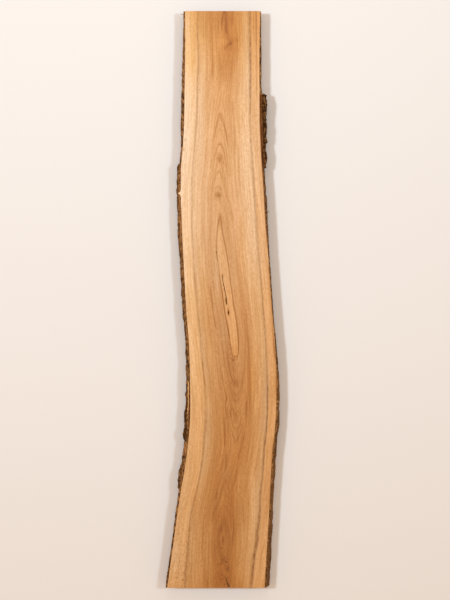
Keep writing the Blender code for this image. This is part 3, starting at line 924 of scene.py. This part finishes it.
class WoodNodes(Nodes):
    """The nodes of the planed wood, and the place in the log that they share."""

    def __init__(self, tree, look):
        super().__init__(tree)
        self.look = look
        self.place = self.group(slab_place_group(), Position=self.add("ShaderNodeTexCoord").outputs["Object"])
        self.share, self.is_right, self.heart = (self.place[name] for name in ("Share", "Side", "Heart"))
        self.shallow = self.step(self.place["Under"], *SHALLOW)
        self.sapwood = self.step(self.heart, *SAPWOOD)
        self.fibres = self.group(grain_group(), Grain=self.place["Grain"])
        self.flame = self.group(flame_group(), Share=self.share, Right=self.place["Right"])
        self.in_flame = self.times(self.flame["Inside"], self.shallow)
        self.spot, self.mark = spot_group(), mark_group()

    def oval(self, centre, wide, long):
        """Where a soft oval lies, from its centre and its radii in pixels."""
        centre, radius = (*on_face(*centre), 0), (wide * PIXEL, long * PIXEL, 1)
        return self.group(self.spot, Face=self.place["Face"], Centre=centre, Radius=radius)["Mask"]

    def stroke(self, start, end, width):
        """Where a short mark lies, from its ends and its width in pixels."""
        ends = {"From": (*on_face(*start), 0), "To": (*on_face(*end), 0)}
        return self.group(self.mark, Face=self.place["Face"], Width=width * PIXEL, **ends)["Mask"]

    def by_side(self, table):
        """A curve down the photograph that is one on the left of the heart and another on its right."""
        return self.blend(self.is_right, *(self.along(self.share, table[side]) for side in SIDES))

    def drawn_marks(self):
        """The growth rings, bent round the knots, then how dark the marks are and how black, painted shade in
        the cracks and along the right rim and a painted highlight on the left rim included.
        """
        ring, dark, black = self.place["Ring"], 0.0, 0.0
        for *oval, bend, depth in KNOTS:
            mask = self.oval(*oval)
            ring = self.plus(ring, mask, bend / 1000)
            dark = self.plus(dark, mask, depth)
        for *oval, depth in PATCHES:
            dark = self.plus(dark, self.oval(*oval), depth)
        for *stroke, depth in MARKS_AND_CRACK_SHADE:
            dark = self.plus(dark, self.stroke(*stroke), depth)
        for *stroke, depth in BLACK_MARKS_AND_CHECK_SHADE:
            black = self.plus(black, self.stroke(*stroke), depth)
        # The streaks include painted shade along the right rim and a painted highlight on the left rim.
        lines = self.flame["Outline"]
        for width, points in STREAKS_AND_PAINTED_RIM_LIGHT:
            lines = self.math("ADD", lines, self.drawn_line(self.share, self.place["Right"], width, points))
        lines = self.times(lines, self.plus(0.5, self.fibres["Fine"]))
        dark = self.plus(dark, lines, self.look.line_strength)
        return ring, self.times(dark, self.shallow), self.times(black, self.shallow)

    def ring_bands(self, ring, width, waves, *shape):
        """Noise that follows the growth rings."""
        place = self.join(self.over(ring, width), self.times(self.share, waves), self.is_right)
        return self.noise(place, *shape)

    def plain_wood(self, outside):
        """Heartwood, sapwood and flame, before what darkens them."""
        look, tone = self.look, self.place["Tone"]
        inner = self.mix(tone, rgba(look.inner_pale), rgba(look.inner_deep))
        outer = self.mix(tone, rgba(look.outer_pale), rgba(look.outer_deep))
        sap = self.mix(tone, rgba(look.sap_pale), rgba(look.sap_deep))
        tint = self.times(self.is_right, self.along(self.share, RIGHT_SAP))
        sap = self.mix(tint, sap, self.tinted(sap, rgba(look.sap_right)))
        wood = self.mix(self.sapwood, self.mix(outside, inner, outer), sap)
        return self.mix(self.times(self.in_flame, FLAME_SHARE), wood, rgba(look.flame))

    def growth_rings(self, ring):
        """Thin rings where the saw ran along them, and strong ones that show further out."""
        tree, slope = ring_lines_group(), self.place["Slope"]
        layers = []
        for spacing, thin, wide, steep, flat, strength in RINGS:
            lines = self.group(tree, Ring=ring, Spacing=spacing, Thin=thin, Wide=wide, Slope=slope)["Line"]
            layers.append(self.times(lines, self.step(slope, steep, flat), strength))
        rings = self.times(self.math("MAXIMUM", *layers), self.along(self.share, RING_DEPTH))
        return self.times(rings, self.plus(1.0, self.in_flame, -FAINTER_RINGS))

    def grain_layers(self, broad_bands, fine_bands):
        """The noises of the grain, with fewer pores in pale wood and more specks at the foot."""
        smooth = self.math("MAXIMUM", self.in_flame, self.sapwood)
        left_sapwood = self.less(self.sapwood, self.is_right)
        at_foot = self.limit(self.times(self.step(self.share, *FOOT_SPECKS), left_sapwood))
        return {
            "Broad": self.fibres["Broad"],
            "Fine": self.fibres["Fine"],
            "Pores": self.times(self.fibres["Pores"], self.plus(1.0, smooth, -FEWER_PORES)),
            "Specks": self.times(self.fibres["Specks"], self.plus(1.0, at_foot, MORE_SPECKS)),
            "broad bands": broad_bands,
            "fine bands": fine_bands,
        }

    def warmth(self, outside):
        """A tint that is more orange where the wood is warm, greyer where it is below 0, and paler and bluer
        where a highlight is painted on the left sapwood's rim.
        """
        warm = self.blend(outside, self.along(self.share, INNER_WARMTH), self.along(self.share, WARMTH))
        for *oval, amount in WARM_PATCHES:
            warm = self.plus(warm, self.oval(*oval), amount)
        grey = self.times(self.by_side(GREY_BAND), self.bell(self.less(self.heart, GREY_AT), GREY_WIDTH))
        # Painted highlight: the left sapwood's outer rim is painted paler and bluer.
        painted_highlight = self.times(self.step(self.heart, *HIGHLIGHT_RIM), self.less(1.0, self.is_right))
        warm = self.plus(self.less(warm, grey), painted_highlight, -HIGHLIGHT_COOL)
        return self.join(1.0, self.plus(1.0, warm, -WARM_GREEN), self.less(1.0, warm))

    def with_sap_line(self, wood):
        """Draws the dark line, broken here and there, between the heartwood and the sapwood."""
        from_line = self.times(self.less(self.heart, 1.0), 2 * LOG_HALF)
        broken = self.step(self.stretched(self.place["Grain"], *BREAKS), *BREAK_STEP)
        ends = self.math("ADD", self.step(self.share, *WIDE_FOOT), self.step(self.share, *WIDE_HEAD))
        width = self.plus(LINE_WIDTH, self.times(ends, self.is_right), WIDER)
        line = self.limit(self.times(self.bell(from_line, width), self.by_side(SAP_LINE_DEPTH), broken))
        grey = self.along(self.share, SAP_LINE_GREY)
        tint = self.mix(grey, rgba(self.look.sap_line), rgba(self.look.grey_line))
        return self.mix(line, wood, self.tinted(wood, tint))

    def with_edges(self, wood):
        """Browns the waney edges where the bark has come off, and darkens the end grain."""
        normal = self.split(self.add("ShaderNodeNewGeometry").outputs["True Normal"])
        brown = self.math("MAXIMUM", self.along(self.share, BROWN_ARRIS), self.is_right)
        waney = self.times(self.step(self.math("ABSOLUTE", normal["X"]), *WANEY_TURN), self.sapwood, brown)
        wood = self.mix(waney, wood, rgba(self.look.cambium))
        end = self.step(self.math("ABSOLUTE", normal["Y"]), *END_TURN)
        return self.mix(end, wood, self.tinted(wood, rgba(self.look.end_grain)))


def planed_walnut(look):
    material, shader = new_material("Planed walnut")
    n = WoodNodes(material.node_tree, look)
    ring, dark, black = n.drawn_marks()
    broad_bands, fine_bands = n.ring_bands(ring, *BROAD_BANDS), n.ring_bands(ring, *FINE_BANDS)
    outside = n.step(n.plus(n.heart, n.less(broad_bands, 0.5), BAND_SHIFT), *OUTER_HEART)
    dark = n.plus(dark, n.growth_rings(ring), look.ring_strength)
    for name, value in n.grain_layers(broad_bands, fine_bands).items():
        middle, depth = GRAIN_LAYERS[name]
        dark = n.plus(dark, n.less(value, middle), depth * look.fibre_strength)
    wood = n.tinted(n.plain_wood(outside), n.warmth(outside))
    wood = n.tinted(wood, n.join(*(n.math("POWER", math.e, n.times(dark, -rate)) for rate in STAIN)))
    wood = n.mix(black, wood, rgba(look.black))
    n.put(shader.inputs["Base Color"], n.with_edges(n.with_sap_line(wood)))
    n.put(shader.inputs["Roughness"], n.plus(WOOD_ROUGHNESS, n.fibres["Fine"], FIBRE_ROUGHNESS))
    n.bump(shader, n.plus(n.fibres["Fine"], n.fibres["Pores"], -PORE_BUMP), strength=0.35, distance=0.0003)
    return material


def deselect_all():
    for other in bpy.context.view_layer.objects:
        other.select_set(False)


def only(piece):
    """Selects one piece and nothing else."""
    deselect_all()
    piece.select_set(True)
    bpy.context.view_layer.objects.active = piece


def edit(piece):
    """Opens one piece in edit mode, with nothing selected."""
    only(piece)
    bpy.ops.object.mode_set(mode="EDIT")
    bpy.ops.mesh.select_all(action="DESELECT")
    return bmesh.from_edit_mesh(piece.data)


def done():
    bpy.ops.object.mode_set(mode="OBJECT")


# Corners of the CAD mesh closer than this are joined up.
WELD = 0.00001


def merged_copy(node, name):
    """A new piece from a CAD node's mesh, with its loose triangles joined up."""
    piece = bpy.data.objects.new(name, frame["nodes"][node].data.copy())
    bpy.context.scene.collection.objects.link(piece)
    piece.data.materials.clear()
    edit(piece)
    bpy.ops.mesh.select_all(action="SELECT")
    bpy.ops.mesh.remove_doubles(threshold=WELD)
    done()
    return piece


def finish(piece, material, smooth_degrees):
    only(piece)
    bpy.ops.object.shade_smooth_by_angle(angle=math.radians(smooth_degrees))
    piece.data.materials.append(material)


# Two places closer than this are the same.
SAME = 1e-4
# An arris lies between two faces that slope this differently, one of them this large, and this far from
# the centre line unless it is at an end.
SLOPE_CHANGE, LARGE_FACE, FAR_OUT = 0.8, 0.1, 0.09


class SLAB_OT_board(bpy.types.Operator):
    """Adds the sawn board with its growth rings"""

    bl_idname = "walnut_slab.board"
    bl_label = "Add board"

    def execute(self, context):
        look = context.scene.walnut_wood
        board = merged_copy("slab_wood", "sawn_board")
        edit(board)
        bpy.ops.mesh.select_all(action="SELECT")
        bpy.ops.mesh.dissolve_limited(angle_limit=math.radians(0.5))
        done()
        for edge in edit(board).edges:
            if self.is_arris(edge):
                edge.select_set(True)
        bpy.ops.mesh.bevel(offset=look.arris, segments=2, affect="EDGES", clamp_overlap=True)
        done()
        finish(board, planed_walnut(look), smooth_degrees=20)
        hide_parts("slab_wood")
        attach(board, "root")
        return {"FINISHED"}

    def is_arris(self, edge):
        """Whether an edge lies in the outline of the face or the back, and not round the shake or the pit."""
        faces = edge.link_faces
        if len(faces) != 2 or abs(faces[0].normal.z - faces[1].normal.z) <= SLOPE_CHANGE:
            return False
        heights = [vertex.co.z for vertex in edge.verts]
        level = min(heights) > HIGH.z - SAME or max(heights) < LOW.z + SAME
        middle = (edge.verts[0].co + edge.verts[1].co) / 2
        outline = abs(middle.x - CENTRE_LINE_X) > FAR_OUT or abs(middle.y) > HIGH.y - SAME
        return level and outline and max(face.calc_area() for face in faces) > LARGE_FACE


# Fresh orange-brown bark in the sawn surface: from and to (pixels down), where it lies from the wood (0)
# to the crust (1), how wide it is there, and how strong. Above 1 it is torn and pale.
FRESH_BARK = {
    "left": [
        (9, 92, 0.5, 0.9, 0.5), (163, 240, 0.34, 0.30, 0.95), (240, 360, 0.30, 0.26, 0.65),
        (380, 415, 0.40, 0.20, 1.7), (415, 441, 0.14, 0.18, 1.0), (441, 456, 0.5, 0.5, 1.0),
        (456, 492, 0.18, 0.16, 0.45),
    ],
    "right": [(94, 150, 0.16, 0.20, 1.0), (150, 200, 0.30, 0.25, 0.6), (372, 588, 0.35, 0.5, 0.35)],
}

# How weathered the bark is: from and to (pixels down), and how dark it has gone.
AGED_BARK = {
    "left": [(90, 163, 0.1), (163, 376, 0.25), (384, 441, 0.3), (456, 492, 0.1), (492, 600, 0.2)],
    "right": [(94, 168, 1.0), (168, 235, 0.65), (235, 375, 0.5), (375, 540, 0.15), (540, 600, 0.35)],
}

# Dark seams between the layers of the sawn bark: from and to, where from wood to crust, how wide, how dark.
SEAMS = {
    "left": [
        (163, 200, 0.78, 0.14, 0.7), (374, 441, 0.08, 0.10, 0.7), (384, 441, 0.72, 0.16, 0.9),
        (456, 492, 0.7, 0.14, 0.6),
    ],
    "right": [
        (94, 150, 0.02, 0.07, 0.8), (94, 150, 0.42, 0.10, 0.9), (150, 168, 0.1, 0.14, 0.8),
        (375, 588, 0.9, 0.16, 0.5),
    ],
}

# Splinters that stand off the bark: root and tip.
SPLINTERS = [
    ((183.6, 14.8), (180.4, 13.4)),
    ((182.8, 76.4), (180.0, 73.4)),
    ((266.4, 213.8), (269.6, 211.0)),
    ((266.8, 213.4), (268.4, 209.8)),
    ((265.2, 138.8), (267.6, 136.8)),
]

# The bark's noises: size across the slab and along it, detail and roughness.
BARK_NOISES = {
    "coarse": (0.0075, 0.013, 3.0, 0.6), "fine": (0.003, 0.005, 2.0, 0.6), "streak": (0.002, 0.03, 2.0, 0.6),
    "blotch": (0.0048, 0.0085, 2.0, 0.5), "ridges": (0.0060, 0.042, 4.0, 0.62),
}
# What the bark's operator paints on the mesh.
PAINTED = ("fresh", "carved", "aged", "seam", "thick_bark")
# The bark's masks: the noise or paint that each is made from, where in it the mask begins and where it is
# whole, and how strong it is at both.
BARK_MASKS = {
    "ridge": ("ridges", 0.38, 0.62), "fibre": ("streak", 0.35, 0.65), "deep": ("carved", 0.12, 0.75),
    "side speck": ("fine", 0.62, 0.75, 0.0, 0.35), "plate": ("coarse", 0.42, 0.58),
    "pit": ("fine", 0.50, 0.36, 0.0, 0.8), "rim speck": ("fine", 0.56, 0.68),
    "inner fibre": ("streak", 0.38, 0.62), "inner speck": ("streak", 0.52, 0.64, 0.0, 0.7),
    "torn": ("fresh", 1.1, 1.6, 0.0, 0.9), "blotch": ("blotch", 0.52, 0.64, 0.0, 0.9),
    "whole": ("fresh", 1.4, 1.0, 0.2, 1.0), "broken seam": ("coarse", 0.30, 0.50, 0.5, 1.0),
}
# How much furrow there is in the ridges of the side, in its dark and pale fibres, and in dark inner bark.
RIDGE_DARK, FIBRE_DARK, INNER_DARK = 0.25, (0.7, 0.35), 0.6
# How strong the specks of the rim are where it is fresh, and how much weaker where it is weathered.
RIM_SPECKS, FEWER_SPECKS = 0.65, 0.35
# How far a face has turned upwards where it counts as sawn.
SAWN_TURN = 0.35, 0.75


class BarkNodes(Nodes):
    """The nodes of the bark, with the noises, paint and masks that they share."""

    def __init__(self, tree, look):
        super().__init__(tree)
        self.look = look
        position = self.add("ShaderNodeTexCoord").outputs["Object"]
        self.given = {name: self.stretched(position, *shape) for name, shape in BARK_NOISES.items()}
        for name in PAINTED:
            self.given[name] = self.add("ShaderNodeAttribute", attribute_name=name).outputs["Fac"]
        self.mask = {
            name: self.step(self.given[source], *where) for name, (source, *where) in BARK_MASKS.items()
        }
        self.furrow = self.mix(self.given["aged"], rgba(look.furrow), rgba(look.old_furrow))
        self.ridge = self.mix(self.given["aged"], rgba(look.crust), rgba(look.old_crust))

    def side(self):
        """The side of the bark: ridged where it is thick, fibrous where only a film is left."""
        ridged = self.mix(self.mask["ridge"], self.furrow, self.mix(RIDGE_DARK, self.ridge, self.furrow))
        dark, pale = (self.mix(share, self.ridge, self.furrow) for share in FIBRE_DARK)
        crust = self.mix(self.given["thick_bark"], self.mix(self.mask["fibre"], dark, pale), ridged)
        crust = self.mix(self.mask["deep"], crust, self.furrow)
        return self.mix(self.mask["side speck"], crust, rgba(self.look.speck))

    def inner(self):
        """The orange-brown fibres next to the wood, with a pale strip where they are torn."""
        inner, look = rgba(self.look.inner), self.look
        fibres = self.mix(self.mask["inner fibre"], self.mix(INNER_DARK, inner, rgba(look.furrow)), inner)
        fibres = self.mix(self.mask["inner speck"], fibres, rgba(look.speck))
        fibres = self.mix(self.given["aged"], fibres, self.tinted(fibres, rgba(look.old_inner)))
        return self.mix(self.mask["torn"], fibres, rgba(look.torn))

    def rim(self):
        """The sawn surface: plates with pits and corky specks, then inner bark, blotches and dark seams."""
        sawn = self.mix(self.mask["plate"], self.furrow, self.ridge)
        sawn = self.mix(self.mask["pit"], sawn, self.furrow)
        specks = self.times(self.mask["rim speck"], self.plus(RIM_SPECKS, self.given["aged"], -FEWER_SPECKS))
        sawn = self.mix(specks, sawn, rgba(self.look.speck))
        sawn = self.mix(self.given["fresh"], sawn, self.inner())
        sawn = self.mix(self.times(self.mask["blotch"], self.mask["whole"]), sawn, self.furrow)
        return self.mix(self.times(self.given["seam"], self.mask["broken seam"]), sawn, self.furrow)


def weathered_bark(look):
    material, shader = new_material("Walnut bark")
    n = BarkNodes(material.node_tree, look)
    up = n.step(n.split(n.add("ShaderNodeNewGeometry").outputs["Normal"])["Z"], *SAWN_TURN)
    n.put(shader.inputs["Base Color"], n.mix(up, n.side(), n.rim()))
    shader.inputs["Roughness"].default_value = 0.9
    shader.inputs["Specular IOR Level"].default_value = 0.08
    n.bump(shader, n.plus(n.given["fine"], n.given["coarse"], 2.0), strength=0.6, distance=0.0008)
    return material


# Bark nearer to the wood than this has grown onto it. It is pressed this far into the wood there, and lies at
# least this far under the face.
GROWN_ON, PRESSED_IN, UNDER_FACE = 0.0006, 0.0005, 0.0004
# Free bark this deep takes the whole swell, and the whole of what each vertex group carries.
SWELL_AT, THICK_AT, LOOSE_AT, TOP_AT = 0.003, 0.018, 0.008, 0.006
# How far down the sawn surface goes, how far down the side furrows begin, and over what depth they fade in.
TOP_DEPTH, RIM_DEPTH, SIDE_FADE = 0.003, 0.004, 0.010
# Where the right bark is missing a chip: pixels down from the head, how long it is, and how deep.
CHIP_DOWN, CHIP_LENGTH, CHIP_DEPTH = 83.5, 2.5, 0.85
# The bark's long edges are halved at most this many times.
MOST_CUTS = 7
# The bark's depth is measured in slices of the slab this long, and taken to be at least this much.
SLICE, LEAST_DEPTH = 0.004, 0.001
# Bark this deep is still a film, and this much deeper it is a plate.
FILM, PLATE = 0.004, 0.006
# Carving counts both ways down to here, and only inwards below. It is whole at this depth.
RIM, CARVED_AT = 0.005, 0.004
# Over how many pixels a stretch of fresh bark or a seam fades out at both ends.
STRETCH_FADE = 1.5
# How far under the face a splinter's root and tip are, and its radius there.
ROOT_UNDER, TIP_UNDER = 0.003, 0.001
ROOT_RADIUS, TIP_RADIUS = 0.0012, 0.0002
# How much longer the furrows are than wide.
FURROW_STRETCH = 4.5
RIDGED = {"musgrave_type": "RIDGED_MULTIFRACTAL", "octaves": 2.0}


class SLAB_OT_bark(bpy.types.Operator):
    """Adds the furrowed bark along both waney edges, with its splinters"""

    bl_idname = "walnut_slab.bark"
    bl_label = "Add bark"

    def execute(self, context):
        look = context.scene.walnut_bark
        plain = frame["nodes"]["slab_wood"].data
        corners, faces = [v.co.copy() for v in plain.vertices], [tuple(p.vertices) for p in plain.polygons]
        wood = BVHTree.FromPolygons(corners, faces)
        material = weathered_bark(look)
        for side, outward in SIDES.items():
            bark = merged_copy(f"{side}_bark", f"bark_{side}")
            self.divide(bark, wood, look.mesh_size)
            smooth = [v.co.copy() for v in bark.data.vertices]
            away = [wood.find_nearest(co)[3] for co in smooth]
            self.swell_and_group(bark, away, outward, look.swell)
            self.roughen(bark, outward, look)
            self.settle(bark, wood, smooth, away)
            self.paint(bark, side, smooth, away)
            for root, tip in SPLINTERS:
                if (tip[0] > CENTRE_ACROSS) == (outward > 0):
                    self.add_splinter(bark, root, tip)
            finish(bark, material, smooth_degrees=50)
            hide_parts(f"{side}_bark")
            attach(bark, "root")
        return {"FINISHED"}

    def divide(self, bark, wood, size):
        """Halves every edge longer than size, again and again, on the faces that don't touch the wood."""
        for _ in range(MOST_CUTS):
            mesh = edit(bark)
            bpy.ops.mesh.select_mode(type="EDGE")
            free = {v: wood.find_nearest(v.co)[3] > GROWN_ON for v in mesh.verts}
            outside = [face for face in mesh.faces if any(free[v] for v in face.verts)]
            long = {edge for face in outside for edge in face.edges if edge.calc_length() > size}
            for edge in long:
                edge.select_set(True)
            if long:
                bpy.ops.mesh.subdivide(number_cuts=1)
                bpy.ops.mesh.select_all(action="SELECT")
                bpy.ops.mesh.quads_convert_to_tris()
            bpy.ops.mesh.select_mode(type="VERT")
            done()
            if not long:
                break

    def swell_and_group(self, bark, away, outward, swell):
        """Moves the free crust out a little, and notes in vertex groups how rough each place gets."""
        groups = {name: bark.vertex_groups.new(name=name) for name in ("thick", "loose", "top", "side")}
        for vertex, distance in zip(bark.data.vertices, away):
            free = max(0.0, distance - GROWN_ON)
            if outward > 0:
                from_chip = (HIGH.y - vertex.co.y) / PIXEL - CHIP_DOWN
                free *= 1 - CHIP_DEPTH * math.exp(-((from_chip / CHIP_LENGTH) ** 2))
            vertex.co.x += outward * swell * ramp(free, SWELL_AT)
            shares = {"thick": ramp(free, THICK_AT), "loose": ramp(free, LOOSE_AT)}
            shares["side"] = ramp(HIGH.z - RIM_DEPTH - vertex.co.z, SIDE_FADE) * shares["loose"]
            if vertex.co.z > HIGH.z - TOP_DEPTH:
                shares["top"] = ramp(free, TOP_AT)
            for name, share in shares.items():
                groups[name].add([vertex.index], share, "REPLACE")

    def roughen(self, bark, outward, look):
        """Cuts furrows into the crust and pits into the sawn surface, deeper where the bark is thicker."""
        # Texture, its settings, width and length, direction, vertex group, strength and the level left alone.
        for name, kind, settings, width, length, direction, group, strength, level in (
            ("furrows", "MUSGRAVE", RIDGED, look.furrow_width, look.furrow_width * FURROW_STRETCH, "X",
             "thick", -outward * look.furrow_depth, 0.42),
            ("side_furrows", "MUSGRAVE", RIDGED, 0.011, 0.052, "X", "side", -outward * 0.0045, 0.25),
            ("crags", "CLOUDS", {"noise_depth": 3}, 0.009, 0.018, "X", "thick", outward * 0.0034, 0.55),
            ("chips", "CLOUDS", {"noise_depth": 2}, 0.005, 0.006, "X", "loose", outward * 0.0040, 0.5),
            ("pits", "CLOUDS", {"noise_depth": 2}, 0.006, 0.010, "Z", "top", 0.0040, 1.0),
        ):
            texture = bpy.data.textures.new(name, kind)
            texture.noise_scale = 1.0
            for setting, value in settings.items():
                setattr(texture, setting, value)
            bpy.ops.object.empty_add()
            grid = bpy.context.active_object
            grid.scale = (width, length, width)
            bpy.context.view_layer.update()
            only(bark)
            bpy.ops.object.modifier_add(type="DISPLACE")
            displace = bark.modifiers[-1]
            displace.texture = texture
            displace.texture_coords, displace.texture_coords_object = "OBJECT", grid
            displace.direction, displace.vertex_group = direction, group
            displace.strength, displace.mid_level = strength, level
            bpy.ops.object.modifier_apply(modifier=displace.name)
            bpy.data.objects.remove(grid)
            bpy.data.textures.remove(texture)

    def settle(self, bark, wood, smooth, away):
        """Grows the bark onto the wood and keeps it inside the slab's box."""
        for vertex, before, distance in zip(bark.data.vertices, smooth, away):
            if distance < GROWN_ON:
                nearest = wood.find_nearest(before)[0]
                step = (nearest - before).normalized() * PRESSED_IN
                vertex.co = (before.x + step.x, before.y, min(before.z, HIGH.z - UNDER_FACE))
            vertex.co.x = min(max(vertex.co.x, CAD_BOX[0][0]), CAD_BOX[1][0])
            vertex.co.z = min(max(vertex.co.z, LOW.z), HIGH.z)

    def paint(self, bark, side, smooth, away):
        """Marks on the mesh where the bark is fresh, seamed, carved, weathered and thick."""
        depth = {}
        for co, distance in zip(smooth, away):
            here = round(co.y / SLICE)
            depth[here] = max(depth.get(here, LEAST_DEPTH), distance)
        painted = {name: [] for name in PAINTED}
        for vertex, before, distance in zip(bark.data.vertices, smooth, away):
            whole = depth[round(before.y / SLICE)]
            down = FOOT_DOWN - (before.y - LOW.y) / PIXEL
            for name, table in (("fresh", FRESH_BARK), ("seam", SEAMS)):
                painted[name].append(self.layer_at(table[side], down, distance / whole))
            lift = SIDES[side] * (vertex.co.x - before.x)
            painted["carved"].append(ramp(abs(lift) if before.z > HIGH.z - RIM else -lift, CARVED_AT))
            painted["thick_bark"].append(ramp(whole - FILM, PLATE))
            aged = [dark for start, end, dark in AGED_BARK[side] if start <= down < end]
            painted["aged"].append(max(aged, default=0.0))
        for name, values in painted.items():
            bark.data.attributes.new(name, "FLOAT", "POINT").data.foreach_set("value", values)

    def layer_at(self, layers, down, place):
        """How strong a layer of the sawn bark is, this far down and at this place from wood to crust."""
        strongest = 0.0
        for start, end, centre, width, strength in layers:
            window = ramp(min(down - start, end - down), STRETCH_FADE)
            strongest = max(strongest, strength * window * math.exp(-(((place - centre) / width) ** 2)))
        return strongest

    def add_splinter(self, bark, root, tip):
        deselect_all()
        start, end = in_slab(*root, HIGH.z - ROOT_UNDER), in_slab(*tip, HIGH.z - TIP_UNDER)
        along = end - start
        bpy.ops.mesh.primitive_cone_add(
            vertices=7, radius1=ROOT_RADIUS, radius2=TIP_RADIUS, depth=along.length,
            location=start + along / 2, rotation=along.to_track_quat("Z", "Y").to_euler(),
        )
        bark.select_set(True)
        bpy.context.view_layer.objects.active = bark
        bpy.ops.object.join()


FLOOR_SIZE = 60
SENSOR = 36
# How wide the two main softboxes throw their light, in degrees.
SPREAD = 100


class SLAB_OT_stage(bpy.types.Operator):
    """Adds the pale floor, the soft lights and the camera that looks down on the slab"""

    bl_idname = "walnut_slab.stage"
    bl_label = "Add stage"

    def execute(self, context):
        look = context.scene.walnut_studio
        self.add_floor(look)
        self.add_fill(look)
        # Place, what it points at, size, power, colour and spread.
        for name, place, aim, size, power, colour, spread in (
            ("left_softbox", (-5, 0.9, 7.2), (0, 1.8, 0), 0.95, look.left_power, (0.762, 0.91, 1), SPREAD),
            ("right_softbox", (5, 0.9, 7.4), (0, 1.8, 0), 1.05, look.right_power, (0.638, 0.882, 1), SPREAD),
            ("head_softbox", (0, 2.2, 2.6), (0, 0, 0), 1.5, look.head_power, (0.85, 0.95, 1), 180),
        ):
            light = bpy.data.lights.new(name, "AREA")
            light.energy, light.size, light.color, light.spread = power, size, colour, math.radians(spread)
            lamp = self.add_to_scene(name, light)
            lamp.location = place
            lamp.rotation_euler = (Vector(aim) - lamp.location).to_track_quat("-Z", "Y").to_euler()
        self.add_camera(look.distance)
        context.scene.view_settings.view_transform = "Standard"
        return {"FINISHED"}

    def add_to_scene(self, name, data):
        thing = bpy.data.objects.new(name, data)
        bpy.context.scene.collection.objects.link(thing)
        return thing

    def add_floor(self, look):
        deselect_all()
        bpy.ops.mesh.primitive_plane_add(size=FLOOR_SIZE)
        floor = bpy.context.active_object
        floor.name = "floor"
        material, shader = new_material("Pale floor")
        shader.inputs["Base Color"].default_value = rgba(look.floor)
        shader.inputs["Roughness"].default_value = 0.8
        floor.data.materials.append(material)

    def add_fill(self, look):
        world = bpy.data.worlds.new("Studio")
        world.use_nodes = True
        light = world.node_tree.nodes["Background"].inputs
        light["Color"].default_value = rgba(look.fill_colour)
        light["Strength"].default_value = look.fill
        bpy.context.scene.world = world

    def add_camera(self, distance):
        """Looks straight down on the middle of the photograph, whose taller side fills the sensor."""
        camera = bpy.data.cameras.new("camera")
        camera.sensor_width, camera.lens = SENSOR, SENSOR * distance / (PHOTO_HIGH * PIXEL)
        eye = self.add_to_scene("camera", camera)
        eye.location = in_slab(PHOTO_WIDE / 2, PHOTO_HIGH / 2, THICKNESS + distance)
        bpy.context.scene.camera = eye


class SLAB_PT_panel(bpy.types.Panel):
    """Lists the slab's operators in the sidebar"""

    bl_label = "Walnut slab"
    bl_space_type = "VIEW_3D"
    bl_region_type = "UI"
    bl_category = "Walnut slab"

    def draw(self, context):
        for operator in (SLAB_OT_board, SLAB_OT_bark, SLAB_OT_stage):
            self.layout.operator(operator.bl_idname)


CLASSES = (WoodLook, BarkLook, StudioLook, SLAB_OT_board, SLAB_OT_bark, SLAB_OT_stage, SLAB_PT_panel)


def register():
    for cls in CLASSES:
        bpy.utils.register_class(cls)
    bpy.types.Scene.walnut_wood = bpy.props.PointerProperty(type=WoodLook)
    bpy.types.Scene.walnut_bark = bpy.props.PointerProperty(type=BarkLook)
    bpy.types.Scene.walnut_studio = bpy.props.PointerProperty(type=StudioLook)


def unregister():
    del bpy.types.Scene.walnut_studio
    del bpy.types.Scene.walnut_bark
    del bpy.types.Scene.walnut_wood
    for cls in reversed(CLASSES):
        bpy.utils.unregister_class(cls)


def main():
    register()
    bpy.ops.walnut_slab.board()
    bpy.ops.walnut_slab.bark()
    bpy.ops.walnut_slab.stage()


if __name__ == "__main__":
    main()
